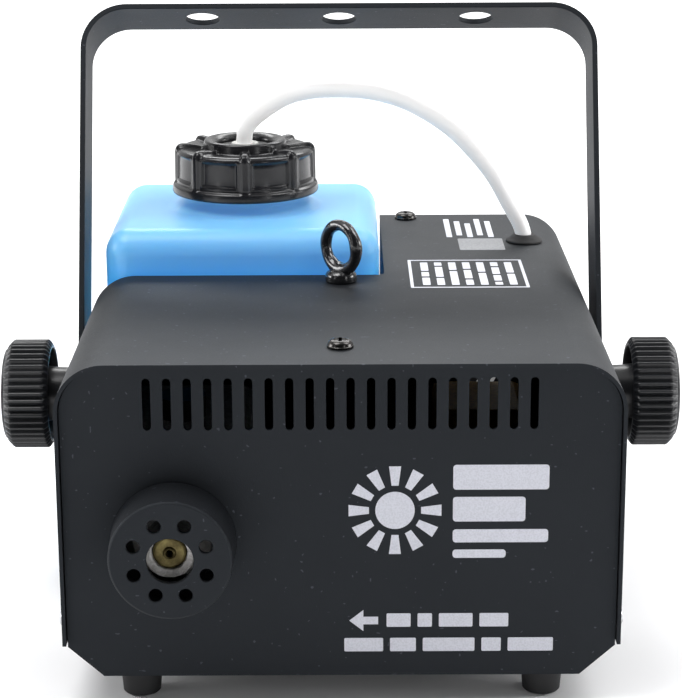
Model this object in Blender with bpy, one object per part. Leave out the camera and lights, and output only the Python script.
"""A compact fog machine as separate sub-parts, in metres with +Z up.

Front is -Y.  Lengths in the tables below are millimetres in the working
frame: x from the middle of the cover, y back from the cover's front edge,
z up from the underside of the chassis.  put() moves them to the row frame,
whose origin is at the middle of the footprint, on the ground.
"""

import math

import bmesh
import bpy
from mathutils import Matrix, Vector

for old in list(bpy.data.objects):
    bpy.data.objects.remove(old)

# ---- driving dimensions, mm -------------------------------------------------
COVER_W = 178.0          # width over the cover's side walls
COVER_H = 104.4          # chassis underside to cover top
COVER_L = 215.9          # front edge to rear edge
COVER_R = 15.9           # outer bend of the cover's two top edges
COVER_Z0 = 11.1          # lower edge of the cover's side walls
SHEET = 1.2              # cover and chassis sheet
GAP = 0.3                # clearance between neighbouring pieces
FOOT_H = 9.0             # height of a rubber foot
FOOT_R = 6.9             # foot radius at its top
FOOT_IN = 24.0           # foot centres in from the cover's sides
FOOT_Y = 11.8            # foot centres in from its front and rear edges
CHAMFER = 12.8           # chassis lower corners, inset in x
CHASSIS_FLANGE = 26.0    # height of the chassis side flanges
PANEL_IN = 2.0           # front and rear panels sit this far inside the cover
SLOT_COUNT = 20
REAR_SLOT_COUNT = 9
SLOT_PITCH = 6.34
SLOT_W = 2.6
SLOT_H = 16.9
SLOT_DROP = 4.9          # slot tops below the cover's top
BAY_X = 15.9             # tank bay: its inner side
BAY_L = 100.7            # tank bay: its length from the rear edge
BAY_SIDE_Z = 40.0        # the side wall stays this high beside the tank
TANK_R = 9.0             # corner radius
TANK_WALL = 1.8
TANK_RISE = 15.3         # tank top above the cover's top
NECK_R = 21.5
CAP_LIFT = 5.8           # underside of the cap's flange above the tank's top
CAP_R = 27.5             # flange radius
CAP_BODY_R = 26.4        # over the ribs
CAP_H = 17.9             # flange underside to the ribs' tops
CAP_RIM_R = 15.3
CAP_RIM_H = 1.8          # raised ring above the ribs' tops
CAP_HOLE_R = 10.5
CAP_RIBS = 8
CAP_RIB_W = 3.2
TUBE_R = 3.0             # silicone feed tube
GROMMET_X = 70.1
NOZZLE_X = -53.4
NOZZLE_Z = 45.8
NOZZLE_R = 5.25
NOZZLE_SET = 6.4         # nozzle tip behind the guard's face
SLEEVE_R = 8.3           # insulation round the nozzle
GUARD_X = -52.8
GUARD_R = 19.3
GUARD_STAND = 15.1       # guard face in front of the cover's front edge
GUARD_HOLE_R = 7.3
GUARD_RING_R = 12.2
GUARD_SMALL_R = 2.15
GUARD_SMALL_N = 8
PIVOT_AHEAD = 9.7        # pivots in front of the tank bay
PIVOT_Z = 63.6
ARM_STAND = 3.6          # outer face of an arm beyond the cover, at its pivot
ARM_SPREAD = 1.6         # how much further out an arm is at its top
ARM_LEN = 142.3          # pivot to the outer face of the cross bar
ARM_W = 23.4
ARM_T = 2.0
ARM_BEND = 16.5
ARM_LEAN = 26.6          # degrees back from upright
BAR_HOLE_R = 6.3
BAR_HOLE_X = 50.5
BOLT_R = 3.0             # M6 pivot bolts and eye bolt
KNOB_R = 19.4
KNOB_STAND = 10.3        # arm to the knob's inner face
KNOB_T = 16.6            # knob thickness
KNOB_FACE_R = 16.3
KNOB_FLUTES = 30
KNOB_HUB_R = 9.2
EYE_X = 0.4
EYE_AHEAD = 9.3          # eye bolt in front of the tank bay
EYE_RING_R = 7.9         # eye bolt ring, to the middle of its wire
EYE_WIRE_R = 2.3
EYE_H = 22.5             # ring's top above the cover
EYE_TURN = -48.0
EYE_COLLAR_R = 5.7
TOP_SCREW_Y = 20.0
REAR_SCREW_X = 26.2
REAR_SCREW_IN = 6.8
TOP_HEAD_R = 4.3
TOP_SHANK_R = 2.0
SIDE_SCREW_Y = 10.7
SIDE_SCREW_Z = 16.5
SIDE_HEAD_R = 3.0
SIDE_SHANK_R = 1.5
REAR_PROUD = 3.0         # rear sockets' flanges stand out this far
INLET_X = 62.0
INLET_Z = 33.0
SWITCH_X = 62.0
SWITCH_Z = 68.0
REMOTE_X = 34.0
REMOTE_Z = 58.0
PUMP_X = 52.0
PUMP_Z = 34.0
PUMP_AHEAD = 9.2         # the pump's outlet ends this far ahead of the bay wall
HEATER_HALF = 19.0       # half width and height of the heater block
JACKET_T = 4.1           # insulation wrapped round the block

# ---- derived ---------------------------------------------------------------
HALF = COVER_W / 2
TRAY_X = HALF - SHEET - GAP            # outer face of the chassis side flange
PANEL_Y0 = PANEL_IN
PANEL_Y1 = PANEL_IN + SHEET
REAR_Y0 = COVER_L - PANEL_IN - SHEET
REAR_Y1 = COVER_L - PANEL_IN
REAR_FACE = REAR_Y1 + REAR_PROUD
Y_MID = (REAR_FACE - GUARD_STAND) / 2
PANEL_TOP = COVER_H - SHEET - GAP
SLOT_HI = COVER_H - SLOT_DROP
SLOT_LO = SLOT_HI - SLOT_H
FOOT_X = HALF - FOOT_IN
BAY_Y = COVER_L - BAY_L
PIVOT_Y = BAY_Y - PIVOT_AHEAD
PUMP_Y = BAY_Y - PUMP_AHEAD
EYE_Y = BAY_Y - EYE_AHEAD
REAR_SCREW_Y = COVER_L - REAR_SCREW_IN
ARM_X = HALF + ARM_STAND
ARM_TOP_X = ARM_X + ARM_SPREAD
KNOB_X0 = ARM_X + KNOB_STAND
KNOB_X1 = KNOB_X0 + KNOB_T
TANK_X0 = -HALF + SHEET + GAP + 3.0
TANK_X1 = BAY_X - SHEET - GAP - 0.2
TANK_Y0 = BAY_Y + GAP + 1.0
TANK_Y1 = REAR_Y0 - GAP - 1.0
SHELF_TOP = COVER_Z0 + SHEET
TANK_Z0 = SHELF_TOP + GAP
TANK_TOP = COVER_H + TANK_RISE
CAP_X = (TANK_X0 + TANK_X1) / 2 - 0.25
CAP_Y = (TANK_Y0 + TANK_Y1) / 2 + 0.65
CAP_Z0 = TANK_TOP + CAP_LIFT
CAP_TOP = CAP_Z0 + CAP_H
CAP_RIM_TOP = CAP_TOP + CAP_RIM_H
GROMMET_Y = CAP_Y + 2.9
GROMMET_NECK_R = TUBE_R + 1.3
GUARD_FACE = -GUARD_STAND
NOZZLE_TIP = GUARD_FACE + NOZZLE_SET


def put(p):
    """Working-frame millimetres to row-frame metres."""
    return Vector((p[0] / 1000, (p[1] - Y_MID) / 1000, (p[2] + FOOT_H) / 1000))


# ---- materials --------------------------------------------------------------
def material(name, colour, metallic=0.0, roughness=0.5, alpha=1.0):
    mat = bpy.data.materials.new(name)
    mat.use_nodes = True
    shader = mat.node_tree.nodes["Principled BSDF"]
    shader.inputs["Base Color"].default_value = (*colour, 1)
    shader.inputs["Metallic"].default_value = metallic
    shader.inputs["Roughness"].default_value = roughness
    shader.inputs["Alpha"].default_value = alpha
    mat.diffuse_color = (*colour, 1)
    return mat


PAINT = material("black_powder_coat", (0.035, 0.036, 0.042), 0.0, 0.55)
PLASTIC = material("black_plastic", (0.012, 0.012, 0.014), 0.0, 0.4)
TANK_MAT = material("blue_tank", (0.07, 0.42, 0.85), 0.0, 0.3)
TUBE_MAT = material("silicone", (0.75, 0.75, 0.74), 0.0, 0.35)
RUBBER = material("black_rubber", (0.015, 0.015, 0.015), 0.0, 0.8)
STEEL = material("zinc_steel", (0.6, 0.6, 0.6), 1.0, 0.35)
BRASS = material("brass", (0.62, 0.45, 0.2), 1.0, 0.35)
ALU = material("cast_aluminium", (0.6, 0.6, 0.62), 1.0, 0.5)
WHITE = material("white_insulation", (0.8, 0.79, 0.76), 0.0, 0.9)
BOARD = material("circuit_board", (0.03, 0.2, 0.08), 0.0, 0.5)
RED = material("red_plastic", (0.5, 0.02, 0.02), 0.0, 0.35)
COPPER = material("coil_tape", (0.55, 0.35, 0.08), 0.0, 0.6)
EYE_MAT = material("black_steel", (0.02, 0.02, 0.022), 0.6, 0.35)


# ---- building blocks ---------------------------------------------------------
def solid(name, points, faces, mat=None):
    """One mesh object from working-frame points, with its normals outward."""
    data = bpy.data.meshes.new(name)
    data.from_pydata([put(p) for p in points], [], faces)
    shape = bmesh.new()
    shape.from_mesh(data)
    bmesh.ops.remove_doubles(shape, verts=shape.verts, dist=1e-7)
    bmesh.ops.recalc_face_normals(shape, faces=shape.faces)
    shape.to_mesh(data)
    shape.free()
    obj = bpy.data.objects.new(name, data)
    bpy.context.scene.collection.objects.link(obj)
    if mat:
        data.materials.append(mat)
    return obj


def loft(name, loops, mat=None, ring=False):
    """Skins closed loops of equal length; ring joins the last to the first."""
    count = len(loops[0])
    points = [p for loop in loops for p in loop]
    faces = []
    last = len(loops) if ring else len(loops) - 1
    for i in range(last):
        a, b = i * count, (i + 1) % len(loops) * count
        for j in range(count):
            k = (j + 1) % count
            faces.append((a + j, a + k, b + k, b + j))
    if not ring:
        faces.append(tuple(range(count)))
        faces.append(tuple((len(loops) - 1) * count + j for j in range(count)))
    return solid(name, points, faces, mat)


def prism(name, outline, axis, lo, hi, mat=None):
    """A flat outline pushed along an axis; the outline gives the other two."""
    def at(a, b, c):
        return {"x": (c, a, b), "y": (a, c, b), "z": (a, b, c)}[axis]
    loops = [[at(a, b, lo) for a, b in outline], [at(a, b, hi) for a, b in outline]]
    return loft(name, loops, mat)


def box(name, lo, hi, mat=None):
    outline = [(lo[0], lo[1]), (hi[0], lo[1]), (hi[0], hi[1]), (lo[0], hi[1])]
    return prism(name, outline, "z", lo[2], hi[2], mat)


def turned(name, profile, axis, centre, count=32, mat=None, radius_at=None):
    """Loops of (radius, station) round an axis through centre.

    A profile that starts and ends at radius 0 is closed there; any other
    profile is a ring.  radius_at(r, angle) shapes flutes and ribs.
    """
    shape = radius_at or (lambda r, angle: r)
    loops = []
    capped = profile[0][0] == 0
    for r, h in profile:
        if r == 0:
            continue
        loop = []
        for i in range(count):
            a = 2 * math.pi * i / count
            rr = shape(r, a)
            u, v = rr * math.cos(a), rr * math.sin(a)
            cx, cy, cz = centre
            loop.append({
                "x": (h, cy + u, cz + v),
                "y": (cx + u, h, cz + v),
                "z": (cx + u, cy + v, h),
            }[axis])
        loops.append(loop)
    return loft(name, loops, mat, ring=not capped)


def rod(name, radius, axis, centre, lo, hi, count=24, mat=None):
    return turned(name, [(0, lo), (radius, lo), (radius, hi), (0, hi)], axis, centre, count, mat)


def tube(name, outer, inner, axis, centre, lo, hi, count=24, mat=None):
    return turned(name, [(outer, lo), (outer, hi), (inner, hi), (inner, lo)], axis, centre, count, mat)


def nut(name, axis, centre, lo, hi):
    """An M6 hexagon nut with a plain round way through."""
    body = rod(name, 5.8, axis, centre, lo, hi, 6, STEEL)
    return cut(body, rod("way", BOLT_R + GAP, axis, centre, min(lo, hi) - 2, max(lo, hi) + 2, 20))


def combine(obj, tool, operation="DIFFERENCE"):
    """Applies one exact Boolean and removes the tool."""
    step = obj.modifiers.new("step", "BOOLEAN")
    step.operation = operation
    step.solver = "EXACT"
    step.object = tool
    graph = bpy.context.evaluated_depsgraph_get()
    made = bpy.data.meshes.new_from_object(obj.evaluated_get(graph))
    obj.modifiers.remove(step)
    obj.data = made
    bpy.data.objects.remove(tool)
    return obj


def cut(obj, *tools):
    for tool in tools:
        combine(obj, tool, "DIFFERENCE")
    return obj


def add(obj, *tools):
    for tool in tools:
        combine(obj, tool, "UNION")
    return obj


def origin_at(obj, point):
    """Moves the object's origin to a working-frame point; the shape stays."""
    spot = put(point)
    obj.data.transform(Matrix.Translation(-spot))
    obj.location = spot
    return obj


def turn_about(obj, point, axis, degrees):
    spot = Matrix.Translation(put(point))
    spin = Matrix.Rotation(math.radians(degrees), 4, axis)
    obj.data.transform(spot @ spin @ spot.inverted())
    return obj


def rounded(x0, x1, y0, y1, radius, per_corner=4):
    """A rectangle with rounded corners, counter-clockwise."""
    out = []
    corners = [(x1 - radius, y0 + radius, -90), (x1 - radius, y1 - radius, 0),
               (x0 + radius, y1 - radius, 90), (x0 + radius, y0 + radius, 180)]
    for cx, cy, start in corners:
        for i in range(per_corner + 1):
            a = math.radians(start + 90 * i / per_corner)
            out.append((cx + radius * math.cos(a), cy + radius * math.sin(a)))
    return out


def arc(cx, cz, radius, start, stop, steps):
    out = []
    for i in range(steps + 1):
        a = math.radians(start + (stop - start) * i / steps)
        out.append((cx + radius * math.cos(a), cz + radius * math.sin(a)))
    return out


# ---- cover -------------------------------------------------------------------
def make_cover():
    """An inverted U of sheet with the tank's corner cut away."""
    top, r, half = COVER_H, COVER_R, HALF
    outer = [(half, COVER_Z0)] + arc(half - r, top - r, r, 0, 90, 8)
    outer += arc(-half + r, top - r, r, 90, 180, 8) + [(-half, COVER_Z0)]
    ri = r - SHEET
    inner = [(-half + SHEET, COVER_Z0)] + arc(-half + r, top - r, ri, 180, 90, 8)
    inner += arc(half - r, top - r, ri, 90, 0, 8) + [(half - SHEET, COVER_Z0)]
    cover = prism("cover", outer + inner, "y", 0, COVER_L, PAINT)
    far = COVER_L + 20
    wide, high = -HALF - 20, COVER_H + 30
    bay = [(wide, BAY_SIDE_Z), (BAY_X, BAY_SIDE_Z), (BAY_X, high), (wide, high)]
    cut(cover, prism("bay", bay, "y", BAY_Y, far))
    holes = [(EYE_X, EYE_Y, BOLT_R + GAP), (0, TOP_SCREW_Y, TOP_SHANK_R + GAP),
             (REAR_SCREW_X, REAR_SCREW_Y, TOP_SHANK_R + GAP), (GROMMET_X, GROMMET_Y, GROMMET_NECK_R + 0.2)]
    for hx, hy, hr in holes:
        cut(cover, rod("hole", hr, "z", (hx, hy, 0), top - 5, top + 5, 20))
    cut(cover, rod("pivots", BOLT_R + GAP, "x", (0, PIVOT_Y, PIVOT_Z), -HALF - 10, HALF + 10, 20))
    for hy in (SIDE_SCREW_Y, COVER_L - SIDE_SCREW_Y):
        cut(cover, rod("sides", SIDE_SHANK_R + GAP, "x", (0, hy, SIDE_SCREW_Z), -HALF - 10, HALF + 10, 16))
    return cover


# ---- chassis -----------------------------------------------------------------
def panel_outline(top, radius):
    """Front panel: rounded top corners and chamfered lower corners."""
    side = TRAY_X
    low = HALF - CHAMFER
    pts = [(-low, 0), (low, 0), (side, COVER_Z0 - 1)]
    pts += arc(side - radius, top - radius, radius, 0, 90, 6)
    pts += arc(-side + radius, top - radius, radius, 90, 180, 6)
    pts += [(-side, COVER_Z0 - 1)]
    return pts


def make_chassis():
    """Floor, front and rear panels and flanges, folded from one sheet."""
    t = SHEET
    low = HALF - CHAMFER
    knee = COVER_Z0 - 1
    flange = CHASSIS_FLANGE
    outer = [(-TRAY_X, flange), (-TRAY_X, knee), (-low, 0), (low, 0), (TRAY_X, knee), (TRAY_X, flange)]
    inner = [(TRAY_X - t, flange), (TRAY_X - t, knee + 0.5), (low - 0.4, t), (-low + 0.4, t),
             (-TRAY_X + t, knee + 0.5), (-TRAY_X + t, flange)]
    chassis = prism("chassis", outer + inner, "y", PANEL_Y0 + 0.6, REAR_Y1 - 0.6, PAINT)
    corner = COVER_R - SHEET - GAP
    front = prism("front", panel_outline(PANEL_TOP, corner), "y", PANEL_Y0, PANEL_Y1)
    for i in range(SLOT_COUNT):
        sx = (i - (SLOT_COUNT - 1) / 2) * SLOT_PITCH
        slot = rounded(sx - SLOT_W / 2, sx + SLOT_W / 2, SLOT_LO, SLOT_HI, SLOT_W / 2 - 0.01, 2)
        cut(front, prism("slot", slot, "y", PANEL_Y0 - 3, PANEL_Y1 + 3))
    cut(front, rod("nozzle_way", 15.0, "y", (GUARD_X, 0, NOZZLE_Z), PANEL_Y0 - 3, PANEL_Y1 + 3, 32))
    rear = prism("rear", panel_outline(PANEL_TOP, corner), "y", REAR_Y0, REAR_Y1)
    cut(rear, box("bay", (-HALF - 20, REAR_Y0 - 5, BAY_SIDE_Z), (BAY_X, REAR_Y1 + 5, COVER_H + 30)))
    cut(rear, prism("inlet", rounded(INLET_X - 14, INLET_X + 14, INLET_Z - 16, INLET_Z + 16, 2, 2),
                    "y", REAR_Y0 - 3, REAR_Y1 + 3))
    cut(rear, prism("switch", rounded(SWITCH_X - 11, SWITCH_X + 11, SWITCH_Z - 7, SWITCH_Z + 7, 1, 2),
                    "y", REAR_Y0 - 3, REAR_Y1 + 3))
    cut(rear, rod("remote", 8.4, "y", (REMOTE_X, 0, REMOTE_Z), REAR_Y0 - 3, REAR_Y1 + 3, 28))
    for i in range(REAR_SLOT_COUNT):
        sx = BAY_X + 8.1 + i * SLOT_PITCH
        slot = rounded(sx - SLOT_W / 2, sx + SLOT_W / 2, SLOT_LO + 4, SLOT_HI - 2, SLOT_W / 2 - 0.01, 2)
        cut(rear, prism("slot", slot, "y", REAR_Y0 - 3, REAR_Y1 + 3))
    front_lip = box("front_lip", (-60, PANEL_Y1 - 0.5, PANEL_TOP - t), (60, TOP_SCREW_Y + 10, PANEL_TOP))
    rear_lip = box("rear_lip", (BAY_X + 3, REAR_Y0 - 16, PANEL_TOP - t), (70, REAR_Y0 + 0.5, PANEL_TOP))
    low_end, high_end = PANEL_TOP - 10, PANEL_TOP + 10
    cut(front_lip, rod("hole", TOP_SHANK_R + GAP, "z", (0, TOP_SCREW_Y, 0), low_end, high_end, 16))
    cut(rear_lip, rod("hole", TOP_SHANK_R + GAP, "z", (REAR_SCREW_X, REAR_SCREW_Y, 0), low_end, high_end, 16))
    add(chassis, front, rear, front_lip, rear_lip)
    for hy in (SIDE_SCREW_Y, COVER_L - SIDE_SCREW_Y):
        cut(chassis, rod("sides", SIDE_SHANK_R + GAP, "x", (0, hy, SIDE_SCREW_Z), -HALF - 10, HALF + 10, 16))
    for hx in (-FOOT_X, FOOT_X):
        for hy in (FOOT_Y, COVER_L - FOOT_Y):
            cut(chassis, rod("foot_hole", 2.0 + GAP, "z", (hx, hy, 0), -3, 5, 16))
    return chassis


def make_bay_wall():
    """The folded sheet that walls the tank off from the hot side."""
    t = SHEET
    near = BAY_Y - GAP
    wall = [(-HALF + SHEET + 3, near - t), (BAY_X + t, near - t), (BAY_X + t, REAR_Y0 - 0.8),
            (BAY_X, REAR_Y0 - 0.8), (BAY_X, near), (-HALF + SHEET + 3, near)]
    body = prism("bay_wall", wall, "z", SHEET + GAP, PANEL_TOP - SHEET - GAP, PAINT)
    # the wall's outer end follows the chassis' chamfered corner and the cover's bend
    out, up = -HALF - 11, COVER_H + 15
    low_corner = -HALF + CHAMFER + 2
    cut(body, prism("low", [(out, -5), (low_corner, -5), (low_corner, SHEET + 1.3),
                            (-TRAY_X + SHEET + 1, COVER_Z0 + 1.5), (-TRAY_X + SHEET + 0.5, up), (out, up)],
                    "y", near - 15, near + 15))
    bend = [(out, COVER_H - 12.4), (-TRAY_X + 2, COVER_H - 12.4), (-TRAY_X + 10, COVER_H - 2.4),
            (-TRAY_X + 10, up), (out, up)]
    cut(body, prism("high", bend, "y", near - 15, near + 15))
    return body


def make_tank_shelf():
    """A folded plate that lifts the tank clear of the chamfered corner."""
    t = SHEET
    plate = box("tank_shelf", (TANK_X0 - 0.3, TANK_Y0, SHELF_TOP - t), (TANK_X1, TANK_Y1 - 2, SHELF_TOP), PAINT)
    for lx in (TANK_X0 + 24.5, TANK_X1 - 14.2):
        add(plate, box("leg", (lx, TANK_Y0 + 4, t + GAP), (lx + t, TANK_Y1 - 14, SHELF_TOP - t + 0.5)))
    return plate


def make_feet():
    for name, hx, hy in (("foot_front_left", -FOOT_X, FOOT_Y), ("foot_front_right", FOOT_X, FOOT_Y),
                         ("foot_rear_left", -FOOT_X, COVER_L - FOOT_Y),
                         ("foot_rear_right", FOOT_X, COVER_L - FOOT_Y)):
        profile = [(0, -FOOT_H), (FOOT_R - 1.4, -FOOT_H), (FOOT_R - 0.7, -FOOT_H + 0.7),
                   (FOOT_R, -GAP / 3), (2.0, -GAP / 3), (2.0, SHEET + 0.4), (3.2, SHEET + GAP),
                   (2.4, SHEET + 2.4), (0, SHEET + 2.4)]
        turned(name, profile, "z", (hx, hy, 0), 18, RUBBER)


# ---- bracket -------------------------------------------------------------------
def make_bracket():
    """A flat strip bent to a U, leaning back about its pivots."""
    r, t, top = ARM_BEND, ARM_T, PIVOT_Z + ARM_LEN
    low = PIVOT_Z - ARM_W / 2
    outer = [(ARM_X, low)] + arc(ARM_TOP_X - r, top - r, r, 0, 90, 8)
    outer += arc(-ARM_TOP_X + r, top - r, r, 90, 180, 8) + [(-ARM_X, low)]
    inner = [(-ARM_X + t, low)] + arc(-ARM_TOP_X + r, top - r, r - t, 180, 90, 8)
    inner += arc(ARM_TOP_X - r, top - r, r - t, 90, 0, 8) + [(ARM_X - t, low)]
    y0, y1 = PIVOT_Y - ARM_W / 2, PIVOT_Y + ARM_W / 2
    strip = prism("bracket", outer + inner, "y", y0, y1, PAINT)
    round_end = [(y0 - 5, low - 5), (y1 + 5, low - 5), (y1 + 5, PIVOT_Z)]
    round_end += [(PIVOT_Y + ARM_W / 2 * math.cos(a), PIVOT_Z - ARM_W / 2 * math.sin(a))
                  for a in [math.pi * i / 16 for i in range(17)]]
    round_end += [(y0 - 5, PIVOT_Z)]
    reach = ARM_TOP_X + 15
    cut(strip, prism("ends", round_end, "x", -reach, reach))
    cut(strip, rod("pivots", BOLT_R + GAP, "x", (0, PIVOT_Y, PIVOT_Z), -reach, reach, 20))
    for hx in (-BAR_HOLE_X, 0, BAR_HOLE_X):
        cut(strip, rod("bar_hole", BAR_HOLE_R, "z", (hx, PIVOT_Y, 0), top - 8, top + 8, 28))
    turn_about(strip, (0, PIVOT_Y, PIVOT_Z), "X", -ARM_LEAN)
    return origin_at(strip, (0, PIVOT_Y, PIVOT_Z))


def flute(depth, count):
    """Rounded grooves round a grip."""
    def radius_at(r, a):
        if r < KNOB_R - 1:
            return r
        return r - depth * (0.5 - 0.5 * math.cos(count * a))
    return radius_at


def make_pivot(name, side):
    spot = (0, PIVOT_Y, PIVOT_Z)
    knob = [(0, KNOB_X1), (KNOB_FACE_R - 1.0, KNOB_X1), (KNOB_FACE_R, KNOB_X1 - 0.7), (KNOB_FACE_R, KNOB_X1 - 0.9),
            (KNOB_FACE_R + 0.7, KNOB_X1 - 0.9), (KNOB_R, KNOB_X1 - 3.1), (KNOB_R, KNOB_X0 + 1.5),
            (KNOB_R - 2.3, KNOB_X0), (KNOB_R - 3.2, KNOB_X0), (KNOB_R - 3.2, KNOB_X0 + 11.0),
            (KNOB_HUB_R + 0.8, KNOB_X0 + 11.0), (KNOB_HUB_R, ARM_X + GAP), (BOLT_R + GAP, ARM_X + GAP),
            (BOLT_R + GAP, KNOB_X0 + 9.0), (0, KNOB_X0 + 9.0)]
    knob = [(r, side * h) for r, h in knob]
    grip = turned("knob_" + name, knob, "x", spot, KNOB_FLUTES * 3, PLASTIC, flute(1.3, KNOB_FLUTES))
    origin_at(grip, (0, PIVOT_Y, PIVOT_Z))
    inner = TRAY_X
    bolt = [(0, side * (inner - 7.5)), (BOLT_R, side * (inner - 7.5)), (BOLT_R, side * (KNOB_X0 + 8.5)),
            (0, side * (KNOB_X0 + 8.5))]
    turned("pivot_bolt_" + name, bolt, "x", spot, 20, STEEL)
    nut("pivot_nut_" + name, "x", spot, side * (inner - 5.5), side * inner)
    room = ARM_X - ARM_T - HALF
    tube("pivot_washer_" + name, 10.0, BOLT_R + GAP, "x", spot, side * (HALF + 0.25),
         side * (HALF + room - 0.25), 28, RUBBER)


# ---- fog nozzle and heater ---------------------------------------------------------
def make_guard():
    face, back = GUARD_FACE, PANEL_Y0 - GAP
    spot = (GUARD_X, 0, NOZZLE_Z)
    profile = [(GUARD_HOLE_R, face + 0.4), (GUARD_HOLE_R + 0.4, face), (GUARD_R - 0.5, face),
               (GUARD_R, face + 0.5), (GUARD_R + 0.6, back - 1.4),
               (GUARD_R + 0.6, back), (GUARD_R - 1.4, back), (GUARD_R - 1.6, face + 1.6),
               (GUARD_HOLE_R, face + 1.6)]
    guard = turned("nozzle_guard", profile, "y", spot, 40, PAINT)
    for i in range(GUARD_SMALL_N):
        a = math.radians(22.5 + 360 * i / GUARD_SMALL_N)
        hole = (GUARD_X + GUARD_RING_R * math.cos(a), 0, NOZZLE_Z + GUARD_RING_R * math.sin(a))
        cut(guard, rod("small", GUARD_SMALL_R, "y", hole, face - 2, face + 4, 12))
    return guard


def make_heater():
    nx, nz = NOZZLE_X, NOZZLE_Z
    spot = (nx, 0, nz)
    tip, base = NOZZLE_TIP, 17.4
    nozzle = [(1.1, tip + 0.4), (1.5, tip), (1.9, tip + 0.4), (1.9, tip + 0.9), (4.7, tip + 0.9),
              (NOZZLE_R, tip + 1.5), (NOZZLE_R, base - 5.4), (NOZZLE_R + 2.35, base - 4.8),
              (NOZZLE_R + 2.35, base - 0.4), (5.0, base), (5.0, 34.0), (1.1, 34.0)]
    turned("nozzle", nozzle, "y", spot, 24, BRASS)
    half = HEATER_HALF
    rear = BAY_Y - 17.2
    block = prism("heater_block", rounded(nx - half, nx + half, nz - half, nz + half, 3, 2), "y", 22, rear, ALU)
    cut(block, rod("way", 5.0 + GAP, "y", spot, 15, 36, 24))
    cut(block, rod("cartridge", 4.0 + GAP, "y", (nx, 0, nz - 11), 30, rear + 12, 20))
    pad = [(NOZZLE_R + GAP, tip + 0.4), (SLEEVE_R, tip + 0.4), (SLEEVE_R, 4.0), (13.0, 4.0), (13.0, 21.5),
           (NOZZLE_R + 2.35 + GAP, 21.5), (NOZZLE_R + 2.35 + GAP, base - 5.8), (NOZZLE_R + GAP, base - 5.8)]
    turned("insulation_front_pad", pad, "y", spot, 32, WHITE)
    wrap = half + 0.4 + JACKET_T
    outer = rounded(nx - wrap, nx + wrap, nz - wrap, nz + wrap, 5, 3)
    inner = rounded(nx - half - 0.4, nx + half + 0.4, nz - half - 0.4, nz + half + 0.4, 3, 3)
    loops = [[(a, y, b) for a, b in pts] for pts, y in
             ((outer, 24), (outer, rear - 2), (inner, rear - 2), (inner, 24))]
    loft("insulation_jacket", loops, WHITE, ring=True)
    rod("heating_element", 4.0, "y", (nx, 0, nz - 11), 34, rear + 8, 20, STEEL)
    rod("thermostat", 8.0, "z", (nx, (22 + rear) / 2, 0), nz + wrap + GAP, nz + wrap + 7.5, 24, PLASTIC)
    feet = box("heater_bracket", (nx - 22, 30, SHEET + GAP), (nx + 22, rear - 8, SHEET + GAP + 1.5), STEEL)
    under = nz - wrap - GAP
    for sx in (-22, 20.5):
        add(feet, box("leg", (nx + sx, 34, SHEET + GAP + 1), (nx + sx + 1.5, rear - 12, under)))
    return feet


# ---- tank -------------------------------------------------------------------------
def tank_loops(shrink):
    """Loops from the middle of the bottom to the neck's lip."""
    x0, x1, y0, y1 = TANK_X0 + shrink, TANK_X1 - shrink, TANK_Y0 + shrink, TANK_Y1 - shrink
    radius = TANK_R - shrink
    base, top = TANK_Z0 + shrink, TANK_TOP - shrink
    loops = []

    def ring(inset, z):
        pts = rounded(x0 + inset, x1 - inset, y0 + inset, y1 - inset, max(radius - inset, 0.8), 8)
        loops.append([(a, b, z) for a, b in pts])

    for a in (0, 45, 90):
        s = math.radians(a)
        ring(4 * (1 - math.sin(s)), base + 4 * (1 - math.cos(s)))
    for a in (0, 22.5, 45, 67.5, 90):
        s = math.radians(a)
        ring(radius * (1 - math.cos(s)) * 0.97, top - radius * (1 - math.sin(s)))
    return loops


def neck_loops(shrink, lip):
    """Circles of as many points as a tank loop, from shoulder to lip."""
    loops = []
    start = rounded(-1, 1, -1, 1, 0.5, 8)
    for r, z in ((NECK_R + 6 - shrink, TANK_TOP + 0.6 - shrink), (NECK_R + 2.5 - shrink, TANK_TOP + 2.6 - shrink),
                 (NECK_R - shrink, TANK_TOP + 4.0 - shrink), (NECK_R - shrink, lip)):
        loop = []
        for i in range(len(start)):
            a = -math.pi / 2 + 2 * math.pi * (i + 0.5) / len(start)
            loop.append((CAP_X + r * math.cos(a), CAP_Y + r * math.sin(a), z))
        loops.append(loop)
    return loops


def make_tank():
    lip = CAP_Z0 + 12.0
    outside = tank_loops(0.0) + neck_loops(0.0, lip)
    inside = tank_loops(TANK_WALL) + neck_loops(TANK_WALL, lip)
    return loft("tank", outside + inside[::-1], TANK_MAT)


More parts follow.
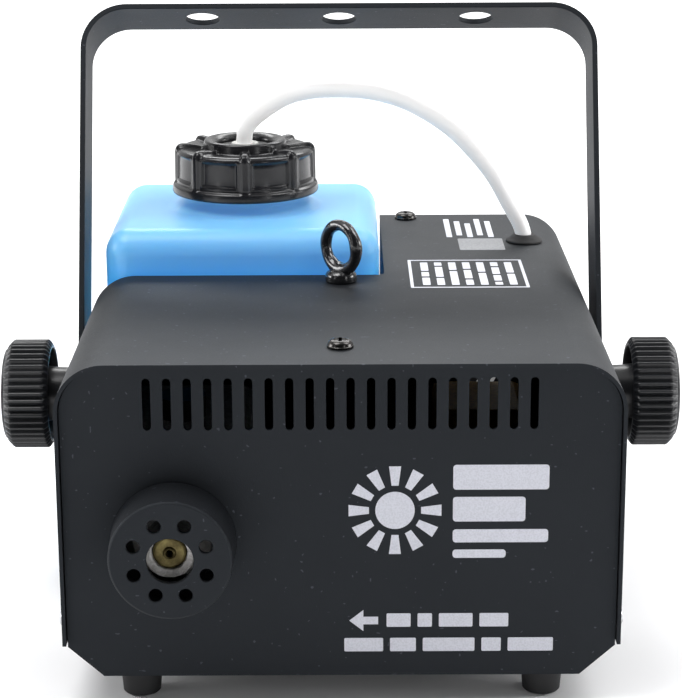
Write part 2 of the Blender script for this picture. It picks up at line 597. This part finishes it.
def make_cap():
    spot = (CAP_X, CAP_Y, 0)
    flange = [(NECK_R + 0.4, CAP_Z0), (CAP_R - 0.9, CAP_Z0), (CAP_R - 0.3, CAP_Z0 + 0.6),
              (CAP_R - 0.3, CAP_Z0 + 3.0), (CAP_R - 1.6, CAP_Z0 + 3.6), (CAP_BODY_R - 1.2, CAP_Z0 + 4.0)]
    cap = [(CAP_BODY_R - 1.2, CAP_TOP - 3.2), (CAP_BODY_R - 3.0, CAP_TOP - 1.4), (CAP_RIM_R + 0.6, CAP_TOP - 1.4),
           (CAP_RIM_R, CAP_RIM_TOP - 0.4), (CAP_RIM_R - 0.6, CAP_RIM_TOP), (CAP_RIM_R - 1.6, CAP_RIM_TOP),
           (CAP_HOLE_R + 1.6, CAP_RIM_TOP - 1.0), (CAP_HOLE_R, CAP_RIM_TOP - 1.4), (CAP_HOLE_R, CAP_TOP - 3.6),
           (NECK_R - 0.6, CAP_TOP - 3.6), (NECK_R + 0.4, CAP_TOP - 4.6)]
    body = turned("tank_cap", flange + cap, "z", spot, 48, PLASTIC)
    for i in range(CAP_RIBS):
        a = -90 + 2 + 360 * i / CAP_RIBS
        half = CAP_RIB_W / 2
        outline = [(CAP_RIM_R + 0.2, CAP_TOP - 2.6), (NECK_R + 1.5, CAP_TOP - 2.6), (NECK_R + 2, CAP_Z0 + 2.5),
                   (CAP_BODY_R, CAP_Z0 + 2.5), (CAP_BODY_R, CAP_TOP - 2.5), (CAP_BODY_R - 2.5, CAP_TOP),
                   (CAP_RIM_R + 0.2, CAP_TOP - 0.5)]
        fin = prism("rib", [(CAP_X + r, h) for r, h in outline], "y", CAP_Y - half, CAP_Y + half)
        turn_about(fin, (CAP_X, CAP_Y, 0), "Z", a)
        add(body, fin)
    origin_at(body, (CAP_X, CAP_Y, CAP_Z0))
    low = CAP_TOP - 9.0
    plug = [(TUBE_R + GAP, low), (CAP_HOLE_R + 1.8, low), (CAP_HOLE_R + 1.8, CAP_TOP - 3.6 - GAP),
            (CAP_HOLE_R - GAP, CAP_TOP - 3.6 - GAP), (CAP_HOLE_R - GAP, CAP_RIM_TOP - 2.2),
            (CAP_HOLE_R - 1.2, CAP_RIM_TOP - 1.6), (TUBE_R + 1.4, CAP_RIM_TOP - 1.6), (TUBE_R + GAP, CAP_RIM_TOP - 2.4)]
    origin_at(turned("cap_plug", plug, "z", spot, 32, WHITE), (CAP_X, CAP_Y, CAP_Z0))
    foot = TANK_Z0 + TANK_WALL + 2.0
    dip = tube("dip_tube", TUBE_R, TUBE_R - 1.0, "z", spot, foot + 3.0, CAP_TOP - 4.0, 16, TUBE_MAT)
    origin_at(dip, (CAP_X, CAP_Y, CAP_Z0))
    end = tube("intake_filter", TUBE_R + 3.0, TUBE_R + GAP, "z", spot, foot, foot + 12.0, 20, BRASS)
    origin_at(end, (CAP_X, CAP_Y, CAP_Z0))


# ---- fluid line -----------------------------------------------------------------------
ROUTE = [(CAP_X, CAP_Y, 140.6), (-35.6, 164.6, 144.5), (-34.6, 164.7, 149.0), (-29.9, 164.9, 154.0),
         (-20.0, 165.1, 160.2), (-10.7, 165.4, 162.5), (0.0, 165.6, 163.0), (12.7, 166.0, 161.9),
         (25.2, 166.3, 158.1), (37.8, 166.6, 150.9), (47.1, 166.9, 142.9), (57.3, 167.1, 130.9),
         (64.2, 167.3, 118.9), (68.2, 167.4, 111.8), (69.7, 167.5, 107.4), (GROMMET_X, GROMMET_Y, 104.4),
         (GROMMET_X, GROMMET_Y, 101.5)]


def smooth(points, spacing):
    """Points at an even spacing along a Catmull-Rom curve."""
    pts = [Vector(p) for p in points]
    pts = [pts[0] * 2 - pts[1]] + pts + [pts[-1] * 2 - pts[-2]]
    fine = []
    for a, b, c, d in zip(pts, pts[1:], pts[2:], pts[3:]):
        for i in range(12):
            t = i / 12
            fine.append(0.5 * (2 * b + (c - a) * t + (2 * a - 5 * b + 4 * c - d) * t * t
                               + (3 * b - a - 3 * c + d) * t ** 3))
    fine.append(pts[-2])
    out, run = [fine[0]], 0.0
    total = sum((q - p).length for p, q in zip(fine, fine[1:]))
    count = max(2, round(total / spacing))
    step, want = total / count, total / count
    for p, q in zip(fine, fine[1:]):
        length = (q - p).length
        while run + length >= want - 1e-9 and len(out) < count:
            out.append(p.lerp(q, (want - run) / length))
            want += step
        run += length
    out.append(fine[-1])
    return out


def hose(name, route, radius, spacing, mat):
    data = bpy.data.curves.new(name, "CURVE")
    data.dimensions = "3D"
    data.bevel_depth = radius / 1000
    data.bevel_resolution = 2
    data.use_fill_caps = True
    pts = [put(p) for p in smooth(route, spacing)]
    spline = data.splines.new("POLY")
    spline.points.add(len(pts) - 1)
    for point, co in zip(spline.points, pts):
        point.co = (*co, 1)
    data.materials.append(mat)
    obj = bpy.data.objects.new(name, data)
    bpy.context.scene.collection.objects.link(obj)
    return obj


def make_fluid_line():
    hose("feed_tube", ROUTE, TUBE_R, 9.0, TUBE_MAT)
    top = COVER_H
    neck = GROMMET_NECK_R
    profile = [(TUBE_R + 3 * GAP, top + 2.8), (neck + 0.2, top + 3.0), (neck + 2.7, top + 0.9),
               (neck + 2.7, top + 0.15), (neck, top + 0.15), (neck, top - SHEET - 0.4),
               (neck + 0.9, top - SHEET - 0.4), (neck + 0.3, top - SHEET - 2.0),
               (TUBE_R + 2 * GAP, top - SHEET - 2.0)]
    turned("tube_grommet", profile, "z", (GROMMET_X, GROMMET_Y, 0), 28, RUBBER)
    px, py, pz = PUMP_X, PUMP_Y, PUMP_Z
    inner_route = [(GROMMET_X, GROMMET_Y, top - 4.4), (GROMMET_X, GROMMET_Y + 1, top - 16.4),
                   (GROMMET_X - 3, py + 70, 70.0), (px + 8, py + 77, 50.0), (px + 2, py + 78, 38.0),
                   (px, py + 72, pz), (px, py + 66.6, pz)]
    hose("inner_hose", inner_route, TUBE_R, 9.0, TUBE_MAT)
    body = [(5.3, py + 12), (9.0, py + 12), (9.0, py + 62), (3.6, py + 63), (3.6, py + 66), (1.4, py + 66),
            (1.4, py + 58), (5.3, py + 57)]
    turned("pump_body", body, "y", (px, 0, pz), 28, PLASTIC)
    stem = [(0, py + 22), (5.0, py + 22), (5.0, py + 44), (0, py + 44)]
    plunger = turned("pump_piston", stem, "y", (px, 0, pz), 20, STEEL)
    origin_at(plunger, (px, py + 33, pz))
    coil = prism("pump_coil", rounded(px - 17, px + 17, pz - 17, pz + 17, 3, 2), "y", py + 18, py + 54, COPPER)
    cut(coil, rod("core", 9.0 + GAP, "y", (px, 0, pz), py + 4, py + 64, 28))
    outlet = [(1.4, py), (3.2, py), (3.2, py + 6), (6.5, py + 6.4), (6.5, py + 11.6), (1.4, py + 11.6)]
    turned("pump_outlet", outlet, "y", (px, 0, pz), 20, BRASS)
    pressure = [(px, py - 1, pz), (px - 1, py - 5, pz), (px - 12, py - 10, pz + 2), (10, py - 6, pz + 2),
                (-20, py - 2, pz + 8),
                (NOZZLE_X + 8, BAY_Y - 9.2, NOZZLE_Z + 8), (NOZZLE_X, BAY_Y - 10.7, NOZZLE_Z + 8),
                (NOZZLE_X, BAY_Y - 16.8, NOZZLE_Z + 8)]
    hose("pressure_tube", pressure, 1.6, 6.0, BRASS)
    rest = box("pump_cradle", (px - 16, py + 20, SHEET + GAP), (px + 16, py + 52, SHEET + GAP + 2), STEEL)
    add(rest, box("pad", (px - 12, py + 24, SHEET + GAP + 1), (px + 12, py + 48, pz - 17 - GAP)))


# ---- electrics -------------------------------------------------------------------------
def make_electrics():
    board = box("circuit_board", (14, 26, 9), (80, 88, 10.6), BOARD)
    for hx, hy in ((19, 31), (71, 31), (19, 83), (71, 83)):
        add(board, rod("post", 2.6, "z", (hx, hy, 0), SHEET + GAP, 9.5, 12))
    box("relay", (24, 56, 10.6 + GAP), (43, 72, 26), BOARD)
    block = box("terminal_block", (50, 34, 10.6 + GAP), (74, 44, 22), PLASTIC)
    for i in range(4):
        cut(block, rod("screw_way", 2.2, "z", (53.5 + 5.6 * i, 39, 0), 16, 30, 12))
    transformer = box("transformer", (50, 54, 10.6 + GAP), (74, 78, 30), COPPER)
    add(transformer, box("core", (46.5, 60, 14), (77.5, 72, 27)))


def make_rear():
    # mains inlet: flange, well with three blades, and a fuse drawer below it
    x, z = INLET_X, INLET_Z
    back = REAR_Y1 + 0.1
    body = prism("power_inlet", rounded(x - 16, x + 16, z - 18, z + 18, 3, 3), "y", back, REAR_FACE, PLASTIC)
    add(body, prism("well", rounded(x - 13.6, x + 13.6, z - 15.6, z + 15.6, 2, 2), "y", REAR_Y0 - 20, back + 0.5))
    mouth = [(x - 12, z - 2), (x + 12, z - 2), (x + 12, z + 9.5), (x + 8, z + 13.5), (x - 8, z + 13.5),
             (x - 12, z + 9.5)]
    cut(body, prism("mouth", mouth, "y", REAR_FACE - 17, REAR_FACE + 3))
    cut(body, prism("drawer_way", [(x - 9, z - 14.5), (x + 9, z - 14.5), (x + 9, z - 4.5), (x - 9, z - 4.5)],
                    "y", REAR_FACE - 17, REAR_FACE + 3))
    for bx, bz in ((-7, 4), (7, 4), (0, 8.5)):
        add(body, box("blade", (x + bx - 1, REAR_FACE - 18, z + bz - 2), (x + bx + 1, REAR_FACE - 6, z + bz + 2)))
    drawer = box("fuse_drawer", (x - 9 + GAP, REAR_FACE - 15, z - 14.5 + GAP), (x + 9 - GAP, REAR_FACE - 1.2, z - 4.5 - GAP),
                 PLASTIC)
    add(drawer, box("grip", (x - 4, REAR_FACE - 3, z - 10.4), (x + 4, REAR_FACE - 0.3, z - 8.6)))
    origin_at(drawer, (x, REAR_FACE, z - 9.5))
    # rocker switch
    x, z = SWITCH_X, SWITCH_Z
    frame = prism("power_switch_body", rounded(x - 12.5, x + 12.5, z - 8.5, z + 8.5, 1.5, 2), "y", back, REAR_FACE - 1,
                  PLASTIC)
    add(frame, prism("can", rounded(x - 10.6, x + 10.6, z - 6.6, z + 6.6, 1, 2), "y", REAR_Y0 - 14, back + 0.5))
    cut(frame, box("well", (x - 9, REAR_Y0 - 8, z - 5), (x + 9, REAR_FACE + 4, z + 5)))
    ry = REAR_FACE - 6.5
    profile = [(x - 8.6, ry - 2.5), (x + 8.6, ry - 2.5), (x + 8.4, ry + 5.0), (x + 4, ry + 4.2), (x, ry + 3.9),
               (x - 4, ry + 4.2), (x - 8.4, ry + 5.0)]
    rocker = prism("power_switch_rocker", profile, "z", z - 5 + GAP, z + 5 - GAP, RED)
    turn_about(rocker, (x, ry, z), "Z", 5.0)
    origin_at(rocker, (x, ry, z))
    # socket for the wired remote
    x, z = REMOTE_X, REMOTE_Z
    spot = (x, 0, z)
    face = REAR_FACE - 0.6
    ring = [(0, REAR_Y0 - 8), (8.1, REAR_Y0 - 8), (8.1, back), (11.0, back), (11.0, face - 0.6), (10.4, face),
            (7.2, face), (7.0, face - 0.6), (7.0, face - 9), (0, face - 9)]
    socket = turned("remote_socket", ring, "y", spot, 32, PLASTIC)
    for i in range(5):
        a = math.radians(180 + 45 * i)
        add(socket, rod("pin", 0.8, "y", (x + 4.4 * math.cos(a), 0, z + 4.4 * math.sin(a)), face - 10, face - 4, 8))


# ---- fixings ----------------------------------------------------------------------------
def make_screw(name, axis, centre, seat, side, head_r, head_h, shank_r, length, mat):
    """A pan head with a cross recess; seat is where the head rests."""
    profile = [(0, seat + side * head_h), (head_r * 0.55, seat + side * head_h),
               (head_r * 0.88, seat + side * head_h * 0.72), (head_r, seat + side * head_h * 0.25),
               (head_r, seat + side * 0.1), (shank_r, seat + side * 0.1), (shank_r, seat - side * length),
               (0, seat - side * length)]
    screw = turned(name, profile, axis, centre, 20, mat)
    lo, hi = sorted((seat + side * head_h * 0.4, seat + side * (head_h + 2)))
    for wide, thin in ((head_r * 0.5, head_r * 0.11), (head_r * 0.11, head_r * 0.5)):
        cx, cy, cz = centre
        if axis == "z":
            cut(screw, box("cross", (cx - wide, cy - thin, lo), (cx + wide, cy + thin, hi)))
        else:
            cut(screw, box("cross", (lo, cy - wide, cz - thin), (hi, cy + wide, cz + thin)))
    return screw


def make_fixings():
    make_screw("screw_top_front", "z", (0, TOP_SCREW_Y, 0), COVER_H, 1, TOP_HEAD_R, 2.6, TOP_SHANK_R, 8, EYE_MAT)
    make_screw("screw_top_rear", "z", (REAR_SCREW_X, REAR_SCREW_Y, 0), COVER_H, 1, TOP_HEAD_R, 2.6, TOP_SHANK_R, 8, EYE_MAT)
    for where, hy in (("front", SIDE_SCREW_Y), ("rear", COVER_L - SIDE_SCREW_Y)):
        for name, side in (("left", -1), ("right", 1)):
            make_screw("screw_side_%s_%s" % (where, name), "x", (0, hy, SIDE_SCREW_Z), side * HALF, side,
                       SIDE_HEAD_R, 1.8, SIDE_SHANK_R, 4, STEEL)
    # eye bolt: collar, shank and a ring of round bar
    top = COVER_H
    spot = (EYE_X, EYE_Y, 0)
    eye = [(0, top + 3.9), (4.2, top + 3.8), (EYE_COLLAR_R, top + 2.8), (EYE_COLLAR_R, top + 0.1),
           (BOLT_R, top + 0.1), (BOLT_R, top - 16), (0, top - 16)]
    bolt = turned("eye_bolt", eye, "z", spot, 28, EYE_MAT)
    centre_z = top + EYE_H - EYE_RING_R - EYE_WIRE_R
    loops = []
    for i in range(28):
        a = 2 * math.pi * i / 28
        loop = []
        for j in range(10):
            b = 2 * math.pi * j / 10
            r = EYE_RING_R + EYE_WIRE_R * math.cos(b)
            loop.append((EYE_X + r * math.cos(a), EYE_Y + EYE_WIRE_R * math.sin(b), centre_z + r * math.sin(a)))
        loops.append(loop)
    ring = loft("ring", loops, ring=True)
    turn_about(ring, (EYE_X, EYE_Y, 0), "Z", EYE_TURN)
    add(bolt, ring)
    under = top - SHEET - 0.15
    nut("eye_bolt_nut", "z", spot, under - 5, under)


make_cover()
make_chassis()
make_bay_wall()
make_tank_shelf()
make_feet()
make_bracket()
make_pivot("left", -1)
make_pivot("right", 1)
make_guard()
make_heater()
make_tank()
make_cap()
make_fluid_line()
make_electrics()
make_rear()
make_fixings()

for shown in bpy.context.scene.objects:
    if shown.type == "MESH":
        shown.data.shade_smooth()
        shown.data.set_sharp_from_angle(angle=math.radians(32))
